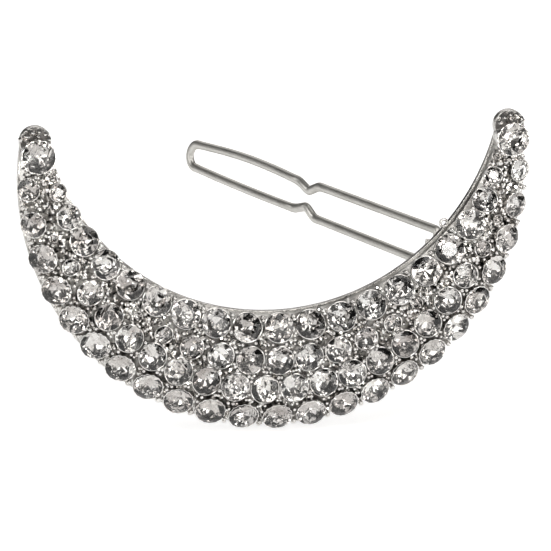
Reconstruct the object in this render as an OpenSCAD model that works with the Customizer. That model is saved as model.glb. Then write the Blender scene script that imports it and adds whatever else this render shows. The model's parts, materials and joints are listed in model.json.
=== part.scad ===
// Crescent hair clip set with rows of round stones in cups.
// It stands upright as worn: the tips point up, the stones face -Y and the
// wire clasp is behind it on the +Y side. The origin is the centre of the
// outer edge, in the plane of the plate's back.

/* [Base plate] */
// Radius of the outer edge
outer_radius = 31.9; // [28:0.1:40]
// Radius of the inner edge
inner_radius = 28.9; // [26:0.1:36]
// How far the inner edge's centre lies above the outer one
inner_centre_up = 11.4; // [10.6:0.1:12.4]
// Thickness of the thin rim that shows outside the cups
rim_thickness = 0.7; // [0.4:0.05:0.9]
// Height of the flat middle above the back
middle_height = 2.6; // [2.4:0.1:3.4]
// Depth of the hollow in the back
hollow_depth = 0.8; // [0.2:0.05:0.9]

/* [Cups and stones] */
// Radius of a full sized cup
cup_radius = 1.78; // [1.5:0.01:1.8]
// Radius of the cup on each tip
tip_cup_radius = 2.05; // [1.8:0.01:2.1]
// Wall thickness of every cup
cup_wall = 0.24; // [0.15:0.01:0.35]
// Distance from the outer centre to the base of an outer row cup
outer_row_radius = 29.9; // [29:0.05:30.2]
// Angle between outer row cups
outer_row_pitch = 8.08; // [7.6:0.02:8.2]
// Angle between inner row cups
inner_row_pitch = 7.55; // [7.2:0.05:8]
// Angle between upper row cups
upper_row_pitch = 9.3; // [8.8:0.1:10]
// Angle from the bottom of the crescent to each tip stone
tip_angle = 96.7; // [96.6:0.1:97.5]
// Angle from the bottom of the crescent to the middle of each rounded end
end_angle = 99.4; // [98.5:0.1:100]

/* [Clasp] */
// Diameter of the spring wire
wire_diameter = 1.15; // [0.9:0.05:1.2]
// Length from the pivot to the middle of the round end
clasp_length = 50.5; // [49.5:0.5:51]
// Space between the legs at the pivot, centre to centre
leg_gap_pivot = 4.5; // [4:0.1:5]
// Space between the legs at the round end, centre to centre
leg_gap_end = 3.2; // [3:0.1:3.6]
// Distance from the pivot to the pinched waist
waist_at = 25.2; // [18:0.1:30]
// Space between the legs at the waist, centre to centre
waist_gap = 2.1; // [1.9:0.1:2.8]
// How far the clasp stands open
open_angle = 63.5; // [0:0.5:110]
// How far the clasp's line tips up towards the left arm
clasp_tilt = 9.5; // [8:0.5:11]
// Radial clearance of the pivot in its lug
pivot_clearance = 0.05; // [0.01:0.01:0.1]

/* [Hidden] */
outer_bevel_top = 28.2;
outer_bevel_rise = middle_height - 0.3 - rim_thickness;
outer_tilt = atan(outer_bevel_rise / (outer_radius - 0.3 - outer_bevel_top));
inner_wall_top = 1.45;
inner_bevel_start = inner_radius + 0.25;
inner_bevel_end = inner_radius + 3.6;
inner_tilt = atan((middle_height - 0.1 - inner_wall_top) / (inner_bevel_end - inner_bevel_start));
inner_row_radius = inner_radius + 1.85;
tip_radius = 29.85;
tip_seat = 1.35;
tip_pad_radius = tip_cup_radius - 0.25;
end_radius = 1.95;
end_centre = outer_radius - 1.8;
end_top = rim_thickness + 0.3;
cup_space = 0.06;
pivot_x = 21.2;
pivot_up = -11;
pivot_depth = -1.6;
wire_radius = wire_diameter / 2;
bend_radius = wire_radius + 0.03;
lug_half = 0.8;
island_radius = 3.3;
outer_angles = [for (k = [-11 : 11]) k * outer_row_pitch];
lower_angles = [for (k = [-10 : 9]) (k + 0.5) * outer_row_pitch];
upper_angles = [for (k = [-6 : 6]) if (upper_size(k * upper_row_pitch) > 0.4) k * upper_row_pitch];
inner_angles = [for (k = [-7 : 7]) k * inner_row_pitch];

function degrees_of(arc) = arc * 180 / PI;

// The outer row's cups shrink a little towards the tips, level along their outer side.
function outer_size(a) = cup_radius - max(0, abs(a) - 70) * 0.022;
function outer_row_at(a) = outer_row_radius + cup_radius - outer_size(a);
function reach(radius, a) =
    -inner_centre_up * cos(a) + sqrt(pow(radius, 2) - pow(inner_centre_up * sin(a), 2));
function inner_row_at(a) = reach(inner_row_radius, a);
function slant(a) = asin(inner_centre_up * sin(a) / inner_row_radius);
function row_gap(a) = outer_row_radius - inner_row_at(a);
function apart(r1, r2, a) = sqrt(pow(r1, 2) + pow(r2, 2) - 2 * r1 * r2 * cos(a));
function beside_inner(a, r) = inner_row_at(a) + (cup_radius + r + cup_space) / cos(slant(a));
function along_row(radius, r) = 2 * radius * sin(outer_row_pitch / 2) >= 2 * r + cup_space;

// The lower row nests between the outer row's cups, at full size where it can.
function lower_at(a, r) = max(outer_row_radius - max(0.31 * row_gap(a), 2.97), beside_inner(a, r));
function lower_fits(a, r) = along_row(lower_at(a, r), r)
    && apart(outer_row_radius, lower_at(a, r), outer_row_pitch / 2) >= cup_radius + r + cup_space;
function lower_size(a, low = 0.3, high = cup_radius, turns = 9) =
    turns == 0 ? low : let (middle = (low + high) / 2)
    lower_fits(a, middle) ? lower_size(a, middle, high, turns - 1) : lower_size(a, low, middle, turns - 1);

// The upper row runs midway between the inner row and the lower row.
function lower_side(a) = lower_at(a, lower_size(a)) - lower_size(a);
function upper_at(a) = (inner_row_at(a) + cup_radius / cos(slant(a)) + lower_side(a)) / 2;
function to_lower(a, p) =
    min([for (b = lower_angles) apart(lower_at(b, lower_size(b)), p, b - a) - lower_size(b)]);
function upper_size(a) = let (p = upper_at(a))
    min(cup_radius, p * sin(upper_row_pitch / 2) - cup_space / 2,
        to_lower(a, p) - cup_space,
        (p - inner_row_at(a)) * cos(slant(a)) - cup_radius - cup_space);

// The last few cups beside the outer row shrink as the arm narrows.
function edge_distance(t) =
    norm([inner_bevel_start * sin(t), inner_centre_up - inner_bevel_start * cos(t)]);
function arm_angle(t) =
    90 + atan((inner_centre_up - inner_bevel_start * cos(t)) / (inner_bevel_start * sin(t)));
function width_left(t) =
    outer_row_radius + cup_radius - 2 * outer_size(arm_angle(t)) - edge_distance(t);
function to_tip_cup(t) = let (reached = inner_bevel_start + 0.7)
    norm([reached * sin(t) - tip_radius * sin(tip_angle),
        inner_centre_up - reached * cos(t) + tip_radius * cos(tip_angle)]) - tip_cup_radius;
function end_size(t) = min(width_left(t) / 2 * 0.95, to_tip_cup(t) - 0.15);
function end_step(t) = degrees_of((2 * end_size(t) + 0.12) / inner_row_radius);
function end_side(t) = t > 70.3 ? [] : concat([t], end_side(t + end_step(t)));

module upright() {
    rotate([90, 0, 0])
        children();
}

module cup(r) {
    difference() {
        cylinder(r = r, h = 0.84 * r, $fn = 36);
        translate([0, 0, 0.16 * r])
            cylinder(r = r - cup_wall, h = r, $fn = 36);
    }
}

module stone(r) {
    s = r - cup_wall - 0.01;
    rotate_extrude($fn = 36)
        polygon([[0, 0.16 * r], [0.3 * s, 0.16 * r], [s, 0.7 * r],
            [s, 0.8 * r], [0.55 * s, 1.12 * r], [0, 1.12 * r]]);
}

module from_outer(a, radius, height, tilt) {
    rotate([0, 0, a])
        translate([0, -radius, height])
            rotate([tilt, 0, 0])
                children();
}

module from_inner(a, radius, height, tilt) {
    translate([0, inner_centre_up, 0])
        from_outer(a, radius, height, -tilt)
            children();
}

module on_outer_bevel(a) {
    from_outer(a, outer_row_at(a), outer_surface(outer_row_at(a)), outer_tilt)
        children();
}

function outer_surface(radius) = rim_thickness + (outer_radius - 0.3 - radius) * tan(outer_tilt);
function inner_surface(radius) = inner_wall_top + (radius - inner_bevel_start) * tan(inner_tilt) + 0.02;

module on_inner_bevel(a, r) {
    distance = inner_bevel_start + 0.02 + r * cos(inner_tilt);
    from_inner(a, distance, inner_surface(distance), inner_tilt)
        children();
}

module at_tip(side) {
    from_outer(side * tip_angle, tip_radius, 0, 0)
        children();
}

module at_end(side) {
    from_outer(side * end_angle, end_centre, 0, 0)
        children();
}

// The clasp's own frame: x from the pivot to the round end, y along the
// pivot's axis, z away from the plate's back when the clasp is shut.
module clasp_frame(angle) {
    translate([pivot_x, pivot_up, pivot_depth])
        rotate([0, 0, -clasp_tilt])
            rotate([0, -angle, 0])
                mirror([1, 0, 0])
                    children();
}

module on_back(x) {
    clasp_frame(0)
        translate([x, 0, -pivot_depth])
            children();
}

module rod(a, b, r) {
    d = b - a;
    translate(a)
        rotate([0, acos(d[2] / norm(d)), atan2(d[1], d[0])])
            cylinder(r = r, h = norm(d), $fn = 24);
}

module ball(p, r) {
    translate(p)
        sphere(r = r, $fn = 24);
}

module base_plate() {
    color("Silver")
        upright()
            difference() {
                union() {
                    difference() {
                        rotate_extrude($fn = 180)
                            polygon([[0, 0], [outer_radius, 0], [outer_radius, rim_thickness],
                                [outer_radius - 0.3, rim_thickness], [outer_bevel_top, middle_height - 0.3],
                                [outer_bevel_top, middle_height], [0, middle_height]]);
                        translate([0, inner_centre_up, 0])
                            rotate_extrude($fn = 180)
                                polygon([[0, -1], [inner_radius, -1], [inner_radius, rim_thickness],
                                    [inner_bevel_start, rim_thickness], [inner_bevel_start, inner_wall_top],
                                    [inner_bevel_end, middle_height - 0.1], [inner_bevel_end, 6], [0, 6]]);
                        for (side = [-1, 1])
                            at_end(side)
                                translate([side > 0 ? 0 : -20, -10, -1])
                                    cube([20, 20, 8]);
                        back_hollow();
                    }
                    for (side = [-1, 1]) {
                        at_end(side)
                            cylinder(r = end_radius, h = end_top, $fn = 48);
                        at_tip(side)
                            cylinder(r = tip_pad_radius, h = tip_seat, $fn = 48);
                    }
                }
                for (side = [-1, 1])
                    at_tip(side)
                        translate([0, 0, tip_seat])
                            cylinder(r = tip_cup_radius + 0.02, h = 3, $fn = 48);
            }
}

module back_hollow() {
    difference() {
        translate([0, 0, -1])
            cylinder(r = outer_radius - 1.9, h = 1 + hollow_depth, $fn = 180);
        translate([0, inner_centre_up, -2])
            cylinder(r = inner_radius + 1.6, h = 6, $fn = 180);
        on_back(0)
            cylinder(r = island_radius, h = 12, center = true, $fn = 48);
        on_back(clasp_length - 1)
            cylinder(r = island_radius, h = 12, center = true, $fn = 48);
        for (side = [-1, 1])
            at_tip(side)
                cylinder(r = 4.2, h = 12, center = true, $fn = 48);
    }
}

module hinge_lug() {
    color("Gainsboro")
        upright()
            clasp_frame(0)
                difference() {
                    union() {
                        rotate([90, 0, 0])
                            cylinder(r = 1.15, h = 2 * lug_half, center = true, $fn = 48);
                        translate([-1.15, -lug_half, 0])
                            cube([2.3, 2 * lug_half, -pivot_depth]);
                        translate([-1.9, -lug_half - 0.5, -pivot_depth - 0.35])
                            cube([3.8, 2 * lug_half + 1, 0.35]);
                    }
                    rotate([90, 0, 0])
                        cylinder(r = wire_radius + pivot_clearance, h = 6, center = true, $fn = 48);
                }
}

module catch_hook() {
    color("Gainsboro")
        upright()
            on_back(0) {
                translate([clasp_length - 2.7, -1, -0.75])
                    cube([4.2, 2, 0.75]);
                translate([clasp_length - 2.4, -0.65, -2.6])
                    cube([0.95, 1.3, 1.9]);
                translate([clasp_length - 2.4, -0.65, -3.2])
                    cube([1.35, 1.3, 0.7]);
            }
}

module leg(side) {
    near = [0, side * leg_gap_pivot / 2, 0];
    before = [waist_at - 1.9, side * (leg_gap_pivot / 2 - 0.12), 0];
    pinch = [waist_at, side * waist_gap / 2, 0];
    after = [waist_at + 2.2, side * (leg_gap_pivot / 2 - 0.38), 0];
    far = [clasp_length - leg_gap_end / 2, side * leg_gap_end / 2, 0];
    rod([0, side * 0.12, 0], near, wire_radius);
    ball(near, bend_radius);
    rod(near, before, wire_radius);
    ball(before, bend_radius);
    rod(before, pinch, wire_radius);
    ball(pinch, bend_radius);
    rod(pinch, after, wire_radius);
    ball(after, bend_radius);
    rod(after, far, wire_radius);
    ball(far, bend_radius);
}

module clasp_wire() {
    color("LightGrey")
        upright()
            clasp_frame(open_angle) {
                leg(-1);
                leg(1);
                translate([clasp_length - leg_gap_end / 2, 0, 0])
                    rotate([0, 0, -90])
                        rotate_extrude(angle = 180, $fn = 48)
                            translate([leg_gap_end / 2, 0])
                                circle(r = wire_radius, $fn = 24);
            }
}

module edge_ring() {
    color("Gainsboro")
        upright()
            from_inner(6.5 * inner_row_pitch, inner_radius - 0.42, rim_thickness + 0.18, 0)
                rotate_extrude($fn = 36)
                    translate([0.46, 0])
                        circle(r = 0.18, $fn = 24);
}

function half(angles, side) = [for (a = angles) if ((a > -0.01 ? 1 : -1) == side) a];

module setting(part, r) {
    if (part == "cup")
        cup(r);
    else
        stone(r);
}

module outer_row(side, part) {
    upright()
        for (a = half(outer_angles, side))
            on_outer_bevel(a)
                setting(part, outer_size(a));
}

module lower_row(side, part) {
    upright()
        for (a = half(lower_angles, side))
            from_outer(a, lower_at(a, lower_size(a)), middle_height, 0)
                setting(part, lower_size(a));
}

module upper_row(side, part) {
    upright()
        for (a = half(upper_angles, side))
            from_outer(a, upper_at(a), middle_height, 0)
                setting(part, upper_size(a));
}

module inner_row(side, part) {
    upright()
        for (a = half(inner_angles, side))
            on_inner_bevel(a, cup_radius)
                setting(part, cup_radius);
}

module end_row(side, part) {
    upright()
        for (t = end_side(59.5))
            on_inner_bevel(side * t, end_size(t))
                setting(part, end_size(t));
}

module tip(side, part) {
    upright()
        at_tip(side)
            translate([0, 0, tip_seat])
                setting(part, tip_cup_radius);
}

module outer_cups_left() {
    color("Silver")
        outer_row(-1, "cup");
}

module outer_cups_right() {
    color("Silver")
        outer_row(1, "cup");
}

module lower_cups_left() {
    color("Silver")
        lower_row(-1, "cup");
}

module lower_cups_right() {
    color("Silver")
        lower_row(1, "cup");
}

module upper_cups_left() {
    color("Silver")
        upper_row(-1, "cup");
}

module upper_cups_right() {
    color("Silver")
        upper_row(1, "cup");
}

module inner_cups_left() {
    color("Silver")
        inner_row(-1, "cup");
}

module inner_cups_right() {
    color("Silver")
        inner_row(1, "cup");
}

module end_cups_left() {
    color("Silver")
        end_row(-1, "cup");
}

module end_cups_right() {
    color("Silver")
        end_row(1, "cup");
}

module tip_cup_left() {
    color("Silver")
        tip(-1, "cup");
}

module tip_cup_right() {
    color("Silver")
        tip(1, "cup");
}

module outer_stones_left() {
    color("White")
        outer_row(-1, "stone");
}

module outer_stones_right() {
    color("White")
        outer_row(1, "stone");
}

module lower_stones_left() {
    color("White")
        lower_row(-1, "stone");
}

module lower_stones_right() {
    color("White")
        lower_row(1, "stone");
}

module upper_stones_left() {
    color("White")
        upper_row(-1, "stone");
}

module upper_stones_right() {
    color("White")
        upper_row(1, "stone");
}

module inner_stones_left() {
    color("White")
        inner_row(-1, "stone");
}

module inner_stones_right() {
    color("White")
        inner_row(1, "stone");
}

module end_stones_left() {
    color("White")
        end_row(-1, "stone");
}

module end_stones_right() {
    color("White")
        end_row(1, "stone");
}

module tip_stone_left() {
    color("White")
        tip(-1, "stone");
}

module tip_stone_right() {
    color("White")
        tip(1, "stone");
}

module bead() {
    cylinder(r = 0.26, h = 1.1, $fn = 24);
    translate([0, 0, 1.1])
        sphere(r = 0.26, $fn = 24);
}

module outer_beads() {
    color("Silver")
        upright()
            for (i = [-11 : 10])
                from_outer((i + 0.5) * outer_row_pitch, 31.05, outer_surface(31.05), outer_tilt)
                    bead();
}

module inner_beads() {
    color("Silver")
        upright()
            for (i = [-7 : 6])
                from_inner((i + 0.5) * inner_row_pitch, 29.62, inner_surface(29.62), inner_tilt)
                    bead();
}

module tip_beads() {
    color("Silver")
        upright()
            for (side = [-1, 1])
                at_end(side) {
                    for (i = [-2 : 2])
                        rotate([0, 0, 30 * i])
                            translate([side * 1.55, 0, end_top])
                                bead();
                    translate([side * 0.95, 0, end_top])
                        bead();
                }
}

base_plate();
hinge_lug();
catch_hook();
clasp_wire();
edge_ring();
outer_cups_left();
outer_cups_right();
lower_cups_left();
lower_cups_right();
upper_cups_left();
upper_cups_right();
inner_cups_left();
inner_cups_right();
end_cups_left();
end_cups_right();
tip_cup_left();
tip_cup_right();
outer_stones_left();
outer_stones_right();
lower_stones_left();
lower_stones_right();
upper_stones_left();
upper_stones_right();
inner_stones_left();
inner_stones_right();
end_stones_left();
end_stones_right();
tip_stone_left();
tip_stone_right();
outer_beads();
inner_beads();
tip_beads();
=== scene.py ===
import json
import math
import random

import bmesh
import bpy
import numpy as np
from mathutils import Matrix, Vector


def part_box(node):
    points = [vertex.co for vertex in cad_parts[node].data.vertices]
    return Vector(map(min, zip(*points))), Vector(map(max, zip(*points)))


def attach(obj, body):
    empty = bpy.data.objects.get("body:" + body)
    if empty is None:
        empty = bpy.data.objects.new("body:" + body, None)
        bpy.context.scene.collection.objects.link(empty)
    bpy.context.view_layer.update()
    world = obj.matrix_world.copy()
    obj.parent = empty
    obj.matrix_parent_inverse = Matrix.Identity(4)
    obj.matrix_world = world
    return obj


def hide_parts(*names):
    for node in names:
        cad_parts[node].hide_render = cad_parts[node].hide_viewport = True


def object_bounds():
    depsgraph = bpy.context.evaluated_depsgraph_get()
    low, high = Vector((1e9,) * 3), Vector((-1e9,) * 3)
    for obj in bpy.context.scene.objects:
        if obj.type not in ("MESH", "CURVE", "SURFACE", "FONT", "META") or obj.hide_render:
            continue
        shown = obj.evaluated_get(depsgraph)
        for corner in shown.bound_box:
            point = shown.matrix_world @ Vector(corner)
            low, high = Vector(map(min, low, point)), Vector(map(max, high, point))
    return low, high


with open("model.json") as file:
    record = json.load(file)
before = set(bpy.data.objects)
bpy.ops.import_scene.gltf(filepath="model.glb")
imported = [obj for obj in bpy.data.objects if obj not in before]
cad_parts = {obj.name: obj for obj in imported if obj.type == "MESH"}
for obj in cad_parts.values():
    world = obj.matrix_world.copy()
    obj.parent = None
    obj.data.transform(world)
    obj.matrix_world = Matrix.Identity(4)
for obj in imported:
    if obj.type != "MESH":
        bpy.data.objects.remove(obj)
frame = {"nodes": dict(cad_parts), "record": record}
cad_low, cad_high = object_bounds()
rng = random.Random(41)
MM = 0.001
TAU = 2 * math.pi
hinge = frame["record"]["behaviour"]["joints"][0]
pivot = Vector(hinge["pos_m"])
hinge_axis = -Vector(hinge["axis"]).normalized()


# ---------------------------------------------------------------- materials

def node_material(name, metallic=0.0, roughness=0.3, colour=(0.8, 0.8, 0.8), **more):
    """A Principled material and its node tree, with the same-all-over numbers set."""
    mat = bpy.data.materials.new(name)
    mat.use_nodes = True
    tree = mat.node_tree
    shader = tree.nodes["Principled BSDF"]
    shader.inputs["Base Color"].default_value = (*colour, 1)
    shader.inputs["Metallic"].default_value = metallic
    shader.inputs["Roughness"].default_value = roughness
    for key, value in more.items():
        shader.inputs[key.replace("_", " ")].default_value = value
    return mat, tree, shader


def object_noise(tree, scale, detail, rough=0.55):
    """Noise fixed to the object, its scale in features per metre."""
    coords = tree.nodes.new("ShaderNodeTexCoord")
    noise = tree.nodes.new("ShaderNodeTexNoise")
    noise.inputs["Scale"].default_value = scale
    noise.inputs["Detail"].default_value = detail
    noise.inputs["Roughness"].default_value = rough
    tree.links.new(coords.outputs["Object"], noise.inputs["Vector"])
    return noise.outputs["Fac"]


def vary(tree, socket, noise, span, stops):
    """Drives a shader's socket from one stop to the other as the noise crosses the span."""
    node = tree.nodes.new("ShaderNodeValToRGB")
    for element, position, value in zip(node.color_ramp.elements, span, stops):
        element.position = position
        element.color = (*value, 1) if isinstance(value, tuple) else (value, value, value, 1)
    tree.links.new(noise, node.inputs["Fac"])
    tree.links.new(node.outputs["Color"], socket)


def plated_metal(name, bright, dull, rough, grain, grain_depth):
    """Polished plating: slow changes of tone, patchy roughness, and a fine grain in mm."""
    mat, tree, shader = node_material(name, metallic=1.0, roughness=rough[0], colour=bright)
    vary(tree, shader.inputs["Base Color"], object_noise(tree, 420, 5), (0.36, 0.62), (dull, bright))
    vary(tree, shader.inputs["Roughness"], object_noise(tree, 900, 6, 0.65), (0.35, 0.7), rough)
    bump = tree.nodes.new("ShaderNodeBump")
    bump.inputs["Strength"].default_value = 0.35
    bump.inputs["Distance"].default_value = grain_depth * MM
    tree.links.new(object_noise(tree, grain, 3, 0.6), bump.inputs["Height"])
    tree.links.new(bump.outputs["Normal"], shader.inputs["Normal"])
    return mat


def stone_glass():
    """Clear glass with a faint warm tint in places and a few smudges."""
    mat, tree, shader = node_material("stone_glass", roughness=0.015, colour=(0.97, 0.97, 0.98),
                                      Transmission_Weight=1.0, IOR=1.58)
    vary(tree, shader.inputs["Base Color"], object_noise(tree, 190, 2), (0.38, 0.62),
         ((0.97, 0.955, 0.94), (1.0, 1.0, 1.0)))
    vary(tree, shader.inputs["Roughness"], object_noise(tree, 1500, 4), (0.5, 0.75), (0.008, 0.05))
    return mat


def stone_foil():
    """The silvered back of a stone, unevenly bright."""
    mat, tree, shader = node_material("stone_foil", metallic=1.0, roughness=0.06, colour=(0.95, 0.95, 0.94))
    vary(tree, shader.inputs["Base Color"], object_noise(tree, 330, 3), (0.34, 0.64),
         ((0.62, 0.595, 0.58), (1.0, 1.0, 0.99)))
    vary(tree, shader.inputs["Roughness"], object_noise(tree, 2400, 3), (0.4, 0.7), (0.03, 0.14))
    return mat


cup_metal = plated_metal("cup_metal", (0.86, 0.85, 0.83), (0.62, 0.60, 0.58),
                         rough=(0.10, 0.24), grain=2600, grain_depth=0.02)
plate_metal = plated_metal("plate_metal", (0.66, 0.65, 0.63), (0.60, 0.59, 0.57),
                           rough=(0.18, 0.32), grain=1500, grain_depth=0.03)
fitting_metal = plated_metal("fitting_metal", (0.80, 0.79, 0.77), (0.62, 0.61, 0.59),
                             rough=(0.20, 0.36), grain=1800, grain_depth=0.03)
wire_metal = plated_metal("wire_metal", (0.66, 0.65, 0.62), (0.57, 0.56, 0.53),
                          rough=(0.32, 0.42), grain=1400, grain_depth=0.004)
# painted shade: the field between the cups and the plate's inner edge face are coloured darker than the
# plate, standing in for the shade that falls there
recess_shade_metal = plated_metal("recess_shade_metal", (0.56, 0.55, 0.53), (0.22, 0.21, 0.20),
                            rough=(0.22, 0.42), grain=1500, grain_depth=0.06)
# painted shade: a dark colour for the pad tops, standing in for the shade in the gaps between the grains
gap_shade_metal = plated_metal("gap_shade_metal", (0.30, 0.29, 0.28), (0.12, 0.115, 0.11),
                          rough=(0.22, 0.42), grain=1500, grain_depth=0.06)
grain_metal = plated_metal("grain_metal", (0.92, 0.91, 0.89), (0.70, 0.68, 0.66),
                           rough=(0.05, 0.14), grain=2600, grain_depth=0.004)
glass = stone_glass()
foil = stone_foil()


# ---------------------------------------------------------------- mesh tools

def add_piece(name, mesh, body, nodes):
    """Puts a mesh in the scene under its body and hides the CAD nodes it replaces."""
    obj = bpy.data.objects.new(name, mesh)
    bpy.context.scene.collection.objects.link(obj)
    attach(obj, body)
    if nodes:
        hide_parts(*nodes)


class Build:
    """Collects points and faces, then makes one piece of them."""

    def __init__(self):
        self.points, self.faces, self.smooth, self.slots = [], [], [], []

    def add(self, points, faces, place=None, smooth=True, slots=None):
        start = len(self.points)
        for p in points:
            p = Vector(p)
            self.points.append(tuple(place @ p) if place else tuple(p))
        for i, face in enumerate(faces):
            self.faces.append(tuple(start + k for k in face))
            self.smooth.append(smooth)
            self.slots.append(slots[i] if slots else 0)

    def finish(self, name, materials, body, nodes, sharp=None):
        mesh = bpy.data.meshes.new(name)
        mesh.from_pydata(self.points, [], self.faces)
        for material in materials:
            mesh.materials.append(material)
        mesh.polygons.foreach_set("use_smooth", self.smooth)
        mesh.polygons.foreach_set("material_index", self.slots)
        mesh.update()
        if sharp is not None:
            mesh.set_sharp_from_angle(angle=math.radians(sharp))
        add_piece(name, mesh, body, nodes)


def scaled(profile, size):
    return [(r * size, h * size) for r, h in profile]


def lathe(profile, count, wave=None):
    """Turns (radius, height) pairs round +Z. The first and last may lie on the axis."""
    points, faces, rings = [], [], []
    for level, (r, z) in enumerate(profile):
        if r < 1e-9:
            rings.append([len(points)])
            points.append((0, 0, z))
            continue
        ring = []
        for i in range(count):
            a = TAU * i / count
            swell = wave(level, a) if wave else 0.0
            ring.append(len(points))
            points.append(((r + swell) * math.cos(a), (r + swell) * math.sin(a), z))
        rings.append(ring)
    for lower, upper in zip(rings, rings[1:]):
        for i in range(count):
            k = (i + 1) % count
            if len(lower) == 1:
                faces.append((lower[0], upper[k], upper[i]))
            elif len(upper) == 1:
                faces.append((lower[i], lower[k], upper[0]))
            else:
                faces.append((lower[i], lower[k], upper[k], upper[i]))
    return points, faces


def loose_parts(node):
    """The points of a CAD node's separate solids, as arrays in metres."""
    mesh = frame["nodes"][node].data
    co = np.empty(len(mesh.vertices) * 3)
    mesh.vertices.foreach_get("co", co)
    co = co.reshape(-1, 3)
    first = {}
    same = [first.setdefault(tuple(np.round(p * 1e6).astype(int)), i) for i, p in enumerate(co)]
    parent = list(range(len(co)))

    def root(i):
        while parent[i] != i:
            parent[i] = parent[parent[i]]
            i = parent[i]
        return i

    for i, s in enumerate(same):
        parent[root(i)] = root(s)
    for e in mesh.edges:
        parent[root(e.vertices[0])] = root(e.vertices[1])
    groups = {}
    for i in range(len(co)):
        groups.setdefault(root(i), set()).add(same[i])
    return [co[sorted(g)] for g in groups.values()]


def round_seats(node):
    """For each turned solid of a node: the matrix of its base, facing the front, and its radius."""
    seats = []
    for part in loose_parts(node):
        middle = part.mean(axis=0)
        values, vectors = np.linalg.eigh(np.cov((part - middle).T))
        gaps = [abs(values[1] - values[2]), abs(values[0] - values[2]), abs(values[0] - values[1])]
        axis = Vector(vectors[:, int(np.argmin(gaps))])
        if axis.y > 0:
            axis = -axis
        along = (part - middle) @ np.array(axis)
        across = (part - middle) - np.outer(along, np.array(axis))
        radius = float(np.linalg.norm(across, axis=1).max())
        base = Vector(middle) + axis * float(along.min())
        side = axis.cross(Vector((0, 0, 1))).normalized()
        turn = Matrix((side, axis.cross(side), axis)).transposed().to_4x4()
        seats.append((Matrix.Translation(base) @ turn, radius))
    seats.sort(key=lambda s: (s[0].translation.x, s[0].translation.z))
    return seats


# ---------------------------------------------------------------- stones

STONE_SIDES = 8
STONE_WIDER = 1.10     # a stone's radius over its plain CAD radius
STONE_LIFT = 0.70      # height of its girdle over the CAD stone's base, in radii
STONE_TILT = 5.0       # largest lean either way, degrees


def wobble(degrees):
    """A small seeded tilt and a free turn, so no two stones catch the light alike."""
    tilt = math.radians(degrees)
    return (Matrix.Rotation(rng.uniform(-tilt, tilt), 4, "X")
            @ Matrix.Rotation(rng.uniform(-tilt, tilt), 4, "Y")
            @ Matrix.Rotation(rng.uniform(0, TAU), 4, "Z"))


def cut_stone(radius):
    """A round foil-backed stone: table, stars, mains, girdle and a broken pavilion."""
    n = STONE_SIDES

    def loose(size):
        return rng.uniform(-size, size) * radius

    def ring(r, z, count, shift, off=0.0):
        """Points round the axis, each up to off out of place; all lengths in radii."""
        turns = [TAU * (i + shift) / count for i in range(count)]
        return [(r * radius * math.cos(a) + loose(off), r * radius * math.sin(a) + loose(off),
                 z * radius + loose(off)) for a in turns]

    points = [(loose(0.09), loose(0.09), -0.70 * radius)]
    points += ring(0.54, 0.29, n, 0)
    points += ring(0.79, 0.19, n, 0.5)
    points += ring(1.0, 0.05, 2 * n, 0)
    points += ring(1.0, 0.0, 2 * n, 0)
    points += ring(0.56, -0.34, n, 0.5, off=0.11)
    table, mains, girdle, bottom, broken = 1, 1 + n, 1 + 2 * n, 1 + 4 * n, 1 + 6 * n
    faces, slots = [tuple(range(table, table + n))], [0]
    for i in range(n):
        after, before = (i + 1) % n, (i - 1) % n
        g0, g1, g2 = 2 * i, 2 * i + 1, (2 * i + 2) % (2 * n)
        faces += [(table + i, mains + i, table + after),
                  (table + i, mains + before, girdle + g0, mains + i),
                  (mains + i, girdle + g0, girdle + g1),
                  (mains + i, girdle + g1, girdle + g2),
                  (girdle + g0, bottom + g0, bottom + g1, girdle + g1),
                  (girdle + g1, bottom + g1, bottom + g2, girdle + g2),
                  (broken + i, bottom + g1, bottom + g0),
                  (broken + i, bottom + g2, bottom + g1),
                  (broken + before, broken + i, bottom + g0),
                  (0, broken + i, broken + before)]
        slots += [0] * 6 + [1] * 4
    return points, faces, slots


def stone_row(name, node, grow):
    """Real cut stones where the CAD node has its plain turned ones."""
    piece = Build()
    for seat, radius in round_seats(node):
        size = radius * STONE_WIDER * grow
        points, faces, slots = cut_stone(size)
        place = seat @ Matrix.Translation((0, 0, size * STONE_LIFT)) @ wobble(STONE_TILT)
        piece.add(points, faces, place, smooth=False, slots=slots)
    piece.finish(name, [glass, foil], "crescent", [node])


# ---------------------------------------------------------------- cups and beads

CUP_HEIGHT = 0.86              # a cup's height over its CAD radius
CUP_WALL, CUP_LIP = 0.10 * MM, 0.07 * MM
LIP_LEVELS = range(5, 9)       # the cup profile's levels that make the lip
LIP_BEADS, BEAD_SWELL = 16, 0.055 * MM
EDGE_GROW, ROW_GROW, TIP_GROW = 1.07, 1.03, 1.02   # a cup's and stone's size over the CAD one's
all_seats = []                 # each cup's matrix, radius and height


def lip_beads(level, angle):
    """Swells a cup's lip into small beads."""
    return BEAD_SWELL * math.cos(LIP_BEADS * angle) if level in LIP_LEVELS else 0.0


def cup_row(name, node, beaded, grow):
    """Cups with a foot and a rounded or beaded lip over the stone's edge."""
    piece = Build()
    for seat, radius in round_seats(node):
        r = radius * grow
        h = CUP_HEIGHT * radius
        wall, lip = CUP_WALL, CUP_LIP
        profile = [(0.0, 0.0), (r * 0.93, 0.0), (r * 0.965, h * 0.10), (r * 0.97, h * 0.55),
                   (r * 0.985, h * 0.72), (r, h * 0.84), (r + lip * 0.3, h * 0.93), (r, h + lip * 0.6),
                   (r - wall * 0.6, h + lip), (r - wall * 1.2, h + lip * 0.5),
                   (r - wall * 1.35, h * 0.90), (r - wall * 1.5, h * 0.35), (0.0, h * 0.16)]
        points, faces = lathe(profile, 64 if beaded else 40, lip_beads if beaded else None)
        piece.add(points, faces, seat)
        all_seats.append((seat, r, h))
    piece.finish(name, [cup_metal], "crescent", [node], sharp=50)


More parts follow.
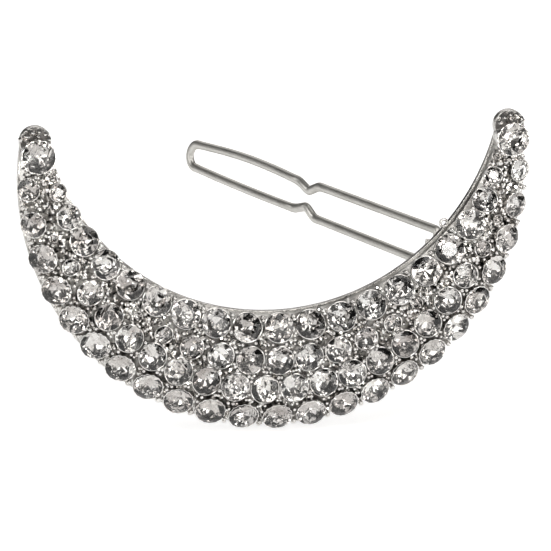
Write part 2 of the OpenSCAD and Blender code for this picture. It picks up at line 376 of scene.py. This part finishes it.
for side in ("left", "right"):
    for row in ("outer", "lower", "upper", "inner", "end"):
        grow = EDGE_GROW if row in ("outer", "inner") else ROW_GROW
        cup_row(f"{row}_cups_{side}_cut", f"{row}_cups_{side}", row == "outer", grow)
        stone_row(f"{row}_stones_{side}_cut", f"{row}_stones_{side}", grow)
    cup_row(f"tip_cup_{side}_cut", f"tip_cup_{side}", True, TIP_GROW)
    stone_row(f"tip_stone_{side}_cut", f"tip_stone_{side}", TIP_GROW)


CLAW_GAP = 0.9 * MM            # cups that stand closer than this share claws
CLAW_APART = 0.46              # a claw's distance from the line between two cups, in radii
CLAW_DEPTH, CLAW_RISE = 1.3 * MM, 0.02 * MM


def claw(bead, depth):
    """A post with a rounded head, its head's underside at height zero."""
    return lathe([(0.0, -depth), (bead * 0.7, -depth), (bead * 0.8, -0.2 * bead), (bead, 0.25 * bead),
                  (bead * 0.92, 0.6 * bead), (bead * 0.6, 0.95 * bead), (0.0, 1.08 * bead)], 12)


def shared_claws():
    """Two claws wherever two cups stand close together, holding both stones."""
    piece = Build()
    up = Vector((0, 0, 1))
    tops = [(seat @ Vector((0, 0, h)), r, seat.to_3x3() @ up) for seat, r, h in all_seats]
    for i, (p, r, p_up) in enumerate(tops):
        for q, q_r, q_up in tops[i + 1:]:
            gap = (q - p).length - r - q_r
            if gap > CLAW_GAP:
                continue
            axis = (p_up + q_up).normalized()
            across = (q - p).normalized()
            side = axis.cross(across).normalized()
            middle = p + across * (r + gap / 2) + axis * CLAW_RISE
            turn = Matrix((side.cross(axis), side, axis)).transposed().to_4x4()
            for lean in (-1, 1):
                bead = rng.uniform(0.19, 0.25) * MM
                where = middle + side * lean * min(r, q_r) * CLAW_APART
                points, faces = claw(bead, CLAW_DEPTH)
                piece.add(points, faces, Matrix.Translation(where) @ turn)
    piece.finish("shared_claws", [cup_metal], "crescent", [], sharp=60)


shared_claws()


def bead_row(name, node, profile, count, material, smooth, sharp=None):
    """Beads turned from one profile in mm, where the CAD node has its plain ones."""
    piece = Build()
    points, faces = lathe(scaled(profile, MM), count)
    for seat, _ in round_seats(node):
        piece.add(points, faces, seat, smooth=smooth)
    piece.finish(name, [material], "crescent", [node], sharp=sharp)


EDGE_BEAD = [(0.0, 0.0), (0.30, 0.0), (0.25, 0.5), (0.27, 1.0), (0.33, 1.2), (0.30, 1.42), (0.17, 1.56),
             (0.0, 1.6)]
TIP_GRAIN = [(0.0, 0.0), (0.28, 0.0), (0.24, 0.8), (0.34, 1.0), (0.17, 1.36), (0.0, 1.38)]
for row in ("outer", "inner"):
    bead_row(f"{row}_beads_cut", f"{row}_beads", EDGE_BEAD, 14, cup_metal, smooth=True, sharp=60)
bead_row("tip_beads_cut", "tip_beads", TIP_GRAIN, 6, grain_metal, smooth=False)


# ---------------------------------------------------------------- plate

OUTER_R, INNER_R, INNER_UP = 31.9, 28.9, 11.4   # edge circles and how far apart their centres are, mm
RIM, MIDDLE, HOLLOW = 0.7, 2.6, 0.8             # heights of the rim and flat middle, hollow's depth, mm
TIP_ANGLE, TIP_ROW, TIP_R, TIP_SEAT = 96.7, 29.85, 1.9, 1.35   # pads under the tip cups, degrees and mm
END_ANGLE, END_ROW, END_R = 99.4, 30.1, 1.95                   # round ends beyond them, degrees and mm
EDGE_R = 0.09                                   # radius of the plate's broken edges, mm
STEP_IN, STEP_WIDTH, STEP_HEIGHT = 0.22, 0.08, 0.75   # the step up from the inner rim, mm
INNER_LEDGE, INNER_SLOPE = 0.25, 0.313          # where the inward bevel starts, mm, and its rise per mm
OUTER_LEDGE, OUTER_SLOPE = 0.3, 0.47            # the same for the outward bevel
BACK_INNER, BACK_OUTER, BACK_WALL = 1.6, 1.9, 0.25    # the hollow's lands at both edges and its wall, mm
ISLAND_R = 3.3                                  # solid back left round each fitting and tip, mm


def inner_edge(angle, radius=INNER_R):
    """Distance from the outer centre to a circle round the inner centre."""
    return -INNER_UP * math.cos(angle) + math.sqrt(radius ** 2 - (INNER_UP * math.sin(angle)) ** 2)


def smooth_step(x):
    x = min(max(x, 0.0), 1.0)
    return x * x * (3 - 2 * x)


def edge_drop(edge):
    """How far a rounded edge falls away at this distance from it."""
    return EDGE_R * (1 - math.sqrt(max(0.0, 1 - (1 - min(edge / EDGE_R, 1.0)) ** 2)))


def front_height(from_inner, from_outer):
    """How far the front stands before the back, by the distances from both edges."""
    bevel = STEP_HEIGHT + max(0.0, from_inner - INNER_LEDGE) * INNER_SLOPE
    inner = RIM + smooth_step((from_inner - STEP_IN) / STEP_WIDTH) * bevel
    outer = RIM + max(0.0, from_outer - OUTER_LEDGE) * OUTER_SLOPE
    return min(inner, outer, MIDDLE) - edge_drop(min(from_inner, from_outer))


def back_depth(from_inner, from_outer, spot):
    """How deep the back is hollowed, leaving solid islands under the fittings and tips."""
    depth = smooth_step((from_inner - BACK_INNER) / BACK_WALL)
    depth *= smooth_step((from_outer - BACK_OUTER) / BACK_WALL)
    for island in islands:
        depth *= smooth_step(((spot - island).length - ISLAND_R) / BACK_WALL)
    return HOLLOW * depth + edge_drop(min(from_inner, from_outer))


def arc_spot(degrees, radius):
    """The (x, z) place at an angle from straight down round the outer centre, in mm."""
    a = math.radians(degrees)
    return Vector((radius * math.sin(a), -radius * math.cos(a)))


def fitting_spot(name):
    low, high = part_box(name)
    return Vector(((low.x + high.x) / 2, (low.z + high.z) / 2)) / MM


islands = [fitting_spot("hinge_lug"), fitting_spot("catch_hook")]
islands += [arc_spot(sign * TIP_ANGLE, TIP_ROW) for sign in (-1, 1)]

# distances in from each edge of the skin's first columns, mm: edge, rim and step, then the hollow's wall
NEAR = [0.0, 0.02, 0.05, 0.09, 0.22, 0.26, 0.30, 0.42]
INNER_SIDE = NEAR + [0.9, 1.25, 1.60, 1.66, 1.725, 1.79, 1.85]
OUTER_SIDE = NEAR + [0.9, 1.40, 1.90, 1.96, 2.025, 2.09, 2.15]
STEPS, ACROSS = 400, 14                         # rows from tip to tip, columns over the middle
COLUMNS = len(INNER_SIDE) + len(OUTER_SIDE) + ACROSS
# the front's middle columns, between the rims, take the painted shade of the recess
SHADED_RECESS_COLUMNS = range(4, COLUMNS - len(NEAR) - 1)
# slot 1 carries painted shade on the field and inner edge, slot 2 painted shade between the pad grains
PLATE, SHADED_RECESS, GAP_SHADE = 0, 1, 2                   # the plate's material slots


def column_radii(a):
    """Distances of the skin's columns from the outer centre, inner edge first."""
    centre_line = (inner_edge(a) + OUTER_R) / 2
    low = min(inner_edge(a, INNER_R + INNER_SIDE[-1]), centre_line - 0.1)
    high = max(OUTER_R - OUTER_SIDE[-1], centre_line + 0.1)
    inner = [min(inner_edge(a, INNER_R + d), low - 0.01 * (len(INNER_SIDE) - 1 - k))
             for k, d in enumerate(INNER_SIDE)]
    middle = [low + (high - low) * (k + 1) / (ACROSS + 1) for k in range(ACROSS)]
    outer = [max(OUTER_R - d, high + 0.01 * (len(OUTER_SIDE) - 1 - k)) for k, d in enumerate(OUTER_SIDE)]
    return inner + middle + outer[::-1]


def skin_points():
    """The front and the back point of every column, row by row."""
    points = []
    for i in range(STEPS + 1):
        a = math.radians(END_ANGLE) * (2 * i / STEPS - 1)
        radii = column_radii(a)
        for front in (True, False):
            for r in radii:
                x, z = r * math.sin(a), -r * math.cos(a)
                from_inner = math.hypot(x, z - INNER_UP) - INNER_R
                from_outer = OUTER_R - r
                if front:
                    y = -front_height(from_inner, from_outer)
                else:
                    y = -back_depth(from_inner, from_outer, Vector((x, z)))
                points.append((x * MM, y * MM, z * MM))
    return points


def skin_faces():
    """Front, back, both edges and both ends, with each face's material slot."""
    faces, slots = [], []
    last = COLUMNS - 1
    for i in range(STEPS):
        here, there = i * 2 * COLUMNS, (i + 1) * 2 * COLUMNS
        back, back_there = here + COLUMNS, there + COLUMNS
        for k in range(last):
            faces.append((here + k, here + k + 1, there + k + 1, there + k))
            faces.append((back + k, back_there + k, back_there + k + 1, back + k + 1))
            # painted shade on the front's middle columns
            slots += [SHADED_RECESS if k in SHADED_RECESS_COLUMNS else PLATE, PLATE]
        # the inner edge face takes the painted shade too
        faces.append((here, there, back_there, back))
        faces.append((here + last, back + last, back_there + last, there + last))
        slots += [SHADED_RECESS, PLATE]
    for start, flip in ((0, False), (STEPS * 2 * COLUMNS, True)):
        for k in range(last):
            cap = (start + k, start + COLUMNS + k, start + COLUMNS + k + 1, start + k + 1)
            faces.append(cap[::-1] if flip else cap)
            slots.append(PLATE)
    return faces, slots


def pad(piece, spot, radius, low, top):
    """A round pad standing on the plate, its top coloured dark as painted shade between the grains."""
    count = 72
    profile = [(0.0, low), (radius - 0.09, low), (radius - 0.03, low + 0.03), (radius, low + 0.09),
               (radius, top - 0.12), (radius - 0.04, top - 0.04), (radius - 0.12, top), (0.0, top)]
    points, faces = lathe(scaled(profile, MM), count)
    # the top ring of faces takes the painted shade
    slots = [PLATE] * (len(faces) - count) + [GAP_SHADE] * count
    place = Matrix.Translation(Vector((spot.x, 0, spot.y)) * MM)
    piece.add(points, faces, place @ Matrix.Rotation(math.radians(90), 4, "X"), slots=slots)


def crescent_plate():
    """The cast plate: one closed skin swept from tip to tip, and two pads on each tip."""
    piece = Build()
    faces, slots = skin_faces()
    piece.add(skin_points(), faces, slots=slots)
    for sign in (-1, 1):
        pad(piece, arc_spot(sign * END_ANGLE, END_ROW), END_R, 0.01, RIM + 0.3)
        pad(piece, arc_spot(sign * TIP_ANGLE, TIP_ROW), TIP_R, 0.3, TIP_SEAT)
    piece.finish("plate", [plate_metal, recess_shade_metal, gap_shade_metal], "crescent", ["base_plate"],
                 sharp=42)


crescent_plate()


FIELD_WIDTH, FIELD_HEIGHT, FIELD_LOW = 66, 46, -32.4   # the area that grains are tried in, mm
GRAIN_STEP, GRAIN_STRAY = 0.56, 0.11                   # from one grain to the next, and off its place, mm
GRAIN_SIZES = (0.27, 0.42)                             # radii, mm
END_LAND, RIM_LAND = 0.14, 0.06                        # bare metal left at the round ends and rims, mm
GRAIN_LEAN = 0.3                                       # largest lean either way, radians


def ground_grains():
    """Small cast grains filling the field between the cups."""
    piece = Build()
    step = GRAIN_STEP
    taken = [(seat @ Vector((0, 0, 0.5 * h)) / MM, r / MM) for seat, r, h in all_seats]
    taken += [(seat.translation / MM, 0.26) for seat, _ in round_seats("tip_beads")]
    ends = [arc_spot(sign * END_ANGLE, END_ROW) for sign in (-1, 1)]
    for row in range(int(FIELD_HEIGHT / step)):
        for col in range(int(FIELD_WIDTH / step)):
            x = (col - FIELD_WIDTH / 2 / step + 0.5 * (row % 2)) * step
            x += rng.uniform(-GRAIN_STRAY, GRAIN_STRAY)
            z = FIELD_LOW + row * step * 0.866 + rng.uniform(-GRAIN_STRAY, GRAIN_STRAY)
            size = rng.uniform(*GRAIN_SIZES)
            from_outer = OUTER_R - math.hypot(x, z)
            from_inner = math.hypot(x, z - INNER_UP) - INNER_R
            on_end = min((Vector((x, z)) - end).length for end in ends) < END_R - END_LAND
            past_end = abs(math.atan2(x, -z)) > math.radians(END_ANGLE)
            if not on_end and (min(from_outer, from_inner) < size + RIM_LAND or past_end):
                continue
            if min(math.hypot(x - p.x, z - p.z) - r for p, r in taken) < size * 0.25:
                continue
            height = max(front_height(from_inner, from_outer), 1.0)
            top = (0.45 if on_end else 0.95) + rng.uniform(-0.2, 0.40)
            profile = [(size * 0.8, -0.2), (size * 0.8, top - size), (size, top - 0.6 * size),
                       (size * 0.45, top), (0.0, top)]
            points, faces = lathe(scaled(profile, MM), 5)
            lean = (Matrix.Rotation(rng.uniform(-GRAIN_LEAN, GRAIN_LEAN), 4, "X")
                    @ Matrix.Rotation(rng.uniform(-GRAIN_LEAN, GRAIN_LEAN), 4, "Y")
                    @ Matrix.Rotation(rng.uniform(0, 1), 4, "Z"))
            place = Matrix.Translation(Vector((x, -height, z)) * MM)
            piece.add(points, faces, place @ Matrix.Rotation(math.radians(90), 4, "X") @ lean, smooth=False)
    piece.finish("ground_grains", [grain_metal], "crescent", [])


ground_grains()


# ---------------------------------------------------------------- clasp and fittings

WIRE_R = 0.575                                       # mm
PIN_END, LEG_OUT = 0.12, 2.25                        # a pin's end and a leg, mm from the clasp's middle line
WAIST_START, WAIST, WAIST_STOP = 23.3, 25.2, 27.4    # where the legs pinch in, mm from the hinge line
ROUND_AT, ROUND_R = 48.9, 1.6                        # the round end's centre and radius, mm
LEG_CORNERS = [(0, PIN_END), (0, LEG_OUT), (WAIST_START, 2.13), (WAIST, 1.05), (WAIST_STOP, 1.87),
               (ROUND_AT, ROUND_R)]
CORNER_CUTS = (0.8, 0.55, 0.45, 0.7)                 # how far from each inner corner its curve starts, mm
PRESSED = ((WAIST_START, 0.7), (WAIST, 0.7), (WAIST_STOP, 0.8), (ROUND_AT + 1.4, 1.6))   # place, reach
PRESS_FLAT, PRESS_WIDE = 0.2, 0.1                    # how much a bend is pressed flatter and wider
LOWER_BOW, UPPER_BOW = 0.12, 0.5                     # how far each leg bows beyond its waist, mm


def clasp_directions():
    """The clasp's length and its flat side's normal, as the CAD wire lies at rest."""
    points = [v.co.copy() for v in frame["nodes"]["clasp_wire"].data.vertices]
    middle = sum(points, Vector()) / len(points) - pivot
    along = (middle - hinge_axis * middle.dot(hinge_axis)).normalized()
    return along, along.cross(hinge_axis).normalized()


def rounded(corners, cuts, per_corner=9):
    """A polyline with each inner corner replaced by a short curve."""
    path = [corners[0]]
    for before, here, after, cut in zip(corners, corners[1:], corners[2:], cuts):
        start = here + (before - here).normalized() * cut
        end = here + (after - here).normalized() * cut
        for k in range(per_corner + 1):
            t = k / per_corner
            path.append(start * (1 - t) ** 2 + here * 2 * t * (1 - t) + end * t ** 2)
    path.append(corners[-1])
    return path


def leg_path(sign, bow):
    """One leg from its pin to the round end, as (along, across) points in mm."""
    bent = rounded([Vector(c) for c in LEG_CORNERS], CORNER_CUTS)
    path = []
    for p, q in zip(bent, bent[1:]):
        pieces = max(1, int((q - p).length / 0.9))
        path += [p.lerp(q, k / pieces) for k in range(pieces)]
    path.append(bent[-1])
    for p in path:
        if p.x > WAIST_STOP:
            p.y += bow * math.sin(math.pi * (p.x - WAIST_STOP) / (ROUND_AT - WAIST_STOP))
    return [Vector((p.x, sign * p.y)) for p in path]


def round_end():
    turns = [math.radians(-90 + 180 * k / 24) for k in range(1, 24)]
    return [Vector((ROUND_AT + ROUND_R * math.cos(b), ROUND_R * math.sin(b))) for b in turns]


def clasp():
    """The spring wire, bent from one length and pressed flatter at its bends."""
    along, normal = clasp_directions()
    path = leg_path(-1, LOWER_BOW) + round_end() + leg_path(1, UPPER_BOW)[::-1]
    count = 20
    points, faces = [], []
    for i, p in enumerate(path):
        before, after = path[max(i - 1, 0)], path[min(i + 1, len(path) - 1)]
        forward = (after - before).normalized()
        side = Vector((-forward.y, forward.x))
        press = max(math.exp(-((p.x - place) / reach) ** 2) for place, reach in PRESSED)
        flat, wide = WIRE_R * (1 - PRESS_FLAT * press), WIRE_R * (1 + PRESS_WIDE * press)
        for k in range(count):
            a = TAU * k / count
            spot = p + side * wide * math.cos(a)
            offset = along * spot.x + hinge_axis * spot.y + normal * flat * math.sin(a)
            points.append(tuple(pivot + offset * MM))
    for i in range(len(path) - 1):
        for k in range(count):
            j = (k + 1) % count
            faces.append((i * count + k, i * count + j, (i + 1) * count + j, (i + 1) * count + k))
    faces.append(tuple(range(count))[::-1])
    faces.append(tuple(len(points) - count + k for k in range(count)))
    piece = Build()
    piece.add(points, faces)
    piece.finish("clasp_bent", [wire_metal], "clasp", ["clasp_wire"], sharp=60)


clasp()


def softened(node, name, width):
    """A fitting with its hard edges broken."""
    bm = bmesh.new()
    bm.from_mesh(frame["nodes"][node].data)
    bmesh.ops.remove_doubles(bm, verts=bm.verts, dist=1e-6)
    bmesh.ops.dissolve_limit(bm, angle_limit=math.radians(1), verts=bm.verts, edges=bm.edges)
    hard = [e for e in bm.edges if len(e.link_faces) == 2 and e.calc_face_angle(0) > math.radians(40)]
    bmesh.ops.bevel(bm, geom=hard, offset=width * MM, segments=2, profile=0.6, affect="EDGES",
                    clamp_overlap=True)
    bmesh.ops.recalc_face_normals(bm, faces=bm.faces)
    mesh = bpy.data.meshes.new(name)
    bm.to_mesh(mesh)
    bm.free()
    mesh.materials.clear()
    mesh.materials.append(fitting_metal)
    for face in mesh.polygons:
        face.use_smooth = True
        face.material_index = 0
    mesh.set_sharp_from_angle(angle=math.radians(35))
    add_piece(name, mesh, "crescent", [node])


softened("hinge_lug", "hinge_lug_soft", 0.09)
softened("catch_hook", "catch_hook_soft", 0.08)


def edge_ring():
    """The small ring beside the hinge, as a true torus in its CAD node's box."""
    low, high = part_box("edge_ring")
    centre = (low + high) / 2
    thick = (high.y - low.y) / 2
    mean = (high.x - low.x) / 2 - thick
    profile = [(mean + thick * math.cos(TAU * k / 16), thick * math.sin(TAU * k / 16)) for k in range(17)]
    points, faces = lathe(profile, 40)
    piece = Build()
    piece.add(points, faces, Matrix.Translation(centre) @ Matrix.Rotation(math.radians(90), 4, "X"))
    piece.finish("edge_ring_round", [cup_metal], "crescent", ["edge_ring"])


edge_ring()


# ---------------------------------------------------------------- floor and light

FLOOR_SIZE, FLOOR_BACK, FLOOR_DROP = 1.0, 0.35, 0.0006   # metres
FLOOR_GLOW_LIT, FLOOR_GLOW_SEEN = 0.38, 0.62             # as a light on the clip, and as seen


def pale_floor():
    """A plain pale floor just under the clip, glowing so that it stays pale."""
    half = FLOOR_SIZE / 2
    mesh = bpy.data.meshes.new("floor")
    mesh.from_pydata([(-half, -half, 0), (half, -half, 0), (half, half, 0), (-half, half, 0)], [],
                     [(0, 1, 2, 3)])
    obj = bpy.data.objects.new("floor", mesh)
    obj.matrix_world = Matrix.Translation((0, FLOOR_BACK, cad_low.z - FLOOR_DROP))
    bpy.context.scene.collection.objects.link(obj)
    mat, tree, shader = node_material("floor", roughness=0.9, colour=(0.9, 0.9, 0.9),
                                      Emission_Color=(1, 1, 1, 1))
    path = tree.nodes.new("ShaderNodeLightPath")
    glow = tree.nodes.new("ShaderNodeMapRange")
    glow.inputs["To Min"].default_value = FLOOR_GLOW_LIT
    glow.inputs["To Max"].default_value = FLOOR_GLOW_SEEN
    tree.links.new(path.outputs["Is Camera Ray"], glow.inputs["Value"])
    tree.links.new(glow.outputs["Result"], shader.inputs["Emission Strength"])
    mesh.materials.append(mat)


pale_floor()


def studio_world(base, lobes):
    """A pale backdrop for the camera, and soft boxes between dark flats for the light."""
    world = bpy.data.worlds.new("studio")
    bpy.context.scene.world = world
    world.use_nodes = True
    tree = world.node_tree
    coords = tree.nodes.new("ShaderNodeTexCoord")
    start = tree.nodes.new("ShaderNodeValue")
    start.outputs[0].default_value = base
    total = start.outputs[0]
    for direction, inner, outer, power in lobes:
        dot = tree.nodes.new("ShaderNodeVectorMath")
        dot.operation = "DOT_PRODUCT"
        dot.inputs[1].default_value = Vector(direction).normalized()
        tree.links.new(coords.outputs["Generated"], dot.inputs[0])
        band = tree.nodes.new("ShaderNodeMapRange")
        band.interpolation_type = "SMOOTHSTEP"
        band.inputs["From Min"].default_value = math.cos(math.radians(outer))
        band.inputs["From Max"].default_value = math.cos(math.radians(inner))
        band.inputs["To Max"].default_value = power
        tree.links.new(dot.outputs["Value"], band.inputs["Value"])
        add = tree.nodes.new("ShaderNodeMath")
        tree.links.new(total, add.inputs[0])
        tree.links.new(band.outputs["Result"], add.inputs[1])
        total = add.outputs["Value"]
    seen = tree.nodes.new("ShaderNodeLightPath")
    mix = tree.nodes.new("ShaderNodeMix")
    tree.links.new(seen.outputs["Is Camera Ray"], mix.inputs["Factor"])
    tree.links.new(total, mix.inputs["A"])
    mix.inputs["B"].default_value = 1.05
    back = tree.nodes["Background"]
    tree.links.new(mix.outputs["Result"], back.inputs["Strength"])
    back.inputs["Color"].default_value = (1.0, 0.985, 0.965, 1)


# direction towards the light, full inside and nothing outside these angles in degrees, power
studio_world(0.09, [
    ((0.22, -0.95, -0.20), 5, 6, 24.0),
    ((-0.18, -0.93, 0.30), 5, 7, 4.0),
    ((0.66, -0.75, 0.09), 4, 5, 13.0),
    ((-0.27, -0.95, 0.13), 3, 4, 14.0),
    ((-0.50, -0.55, 0.66), 6, 9, 3.6),
    ((0.62, -0.60, -0.50), 7, 10, 3.6),
    ((0.90, -0.45, -0.15), 16, 24, 3.0),
    ((-0.60, -0.78, -0.20), 10, 15, 2.8),
    ((-0.95, -0.10, 0.30), 12, 20, 2.2),
    ((0.35, -0.85, 0.45), 8, 12, 3.2),
    ((-0.35, -0.70, 0.62), 8, 13, 3.0),
    ((0.10, -0.30, 0.95), 14, 22, 2.2),
    ((0.70, -0.10, 0.70), 10, 16, 1.8),
    ((0.20, -0.45, -0.86), 22, 30, 3.8),
    ((-0.45, -0.60, -0.66), 12, 18, 3.2),
    ((0.30, 0.90, 0.35), 12, 26, 0.75),
    ((-0.55, 0.80, -0.10), 8, 18, 0.60),
    ((-0.10, 0.75, 0.70), 10, 20, 0.70),
    ((0.05, -0.99, -0.10), 5, 8, 1.5),
])


# ---------------------------------------------------------------- camera

AZIMUTH, ELEVATION, ROLL = math.radians(13.0), math.radians(12.0), math.radians(0.5)
DISTANCE = 0.400                    # metres from the frame's origin
LENS, SENSOR = 212.67, 36.0         # mm
AIM_RIGHT, AIM_DOWN = 0.160, 12.817   # where the camera points, mm from the origin in its own view


def set_camera():
    """A long lens from the left and a little above."""
    out = Vector((-math.sin(AZIMUTH) * math.cos(ELEVATION), -math.cos(AZIMUTH) * math.cos(ELEVATION),
                  math.sin(ELEVATION)))
    flat_right = Vector((math.cos(AZIMUTH), -math.sin(AZIMUTH), 0))
    flat_up = out.cross(flat_right)
    right = math.cos(ROLL) * flat_right + math.sin(ROLL) * flat_up
    up = -math.sin(ROLL) * flat_right + math.cos(ROLL) * flat_up
    spot = out * DISTANCE
    aim = right * (AIM_RIGHT * MM) - up * (AIM_DOWN * MM)
    behind = (spot - aim).normalized()
    right = (right - right.dot(behind) * behind).normalized()
    up = behind.cross(right)
    data = bpy.data.cameras.new("camera")
    data.sensor_width = SENSOR
    data.lens = LENS
    data.clip_start, data.clip_end = 0.01, 20.0
    camera = bpy.data.objects.new("camera", data)
    camera.matrix_world = Matrix.Translation(spot) @ Matrix((right, up, behind)).transposed().to_4x4()
    bpy.context.scene.collection.objects.link(camera)
    bpy.context.scene.camera = camera


set_camera()
bpy.context.scene.view_settings.view_transform = "Standard"
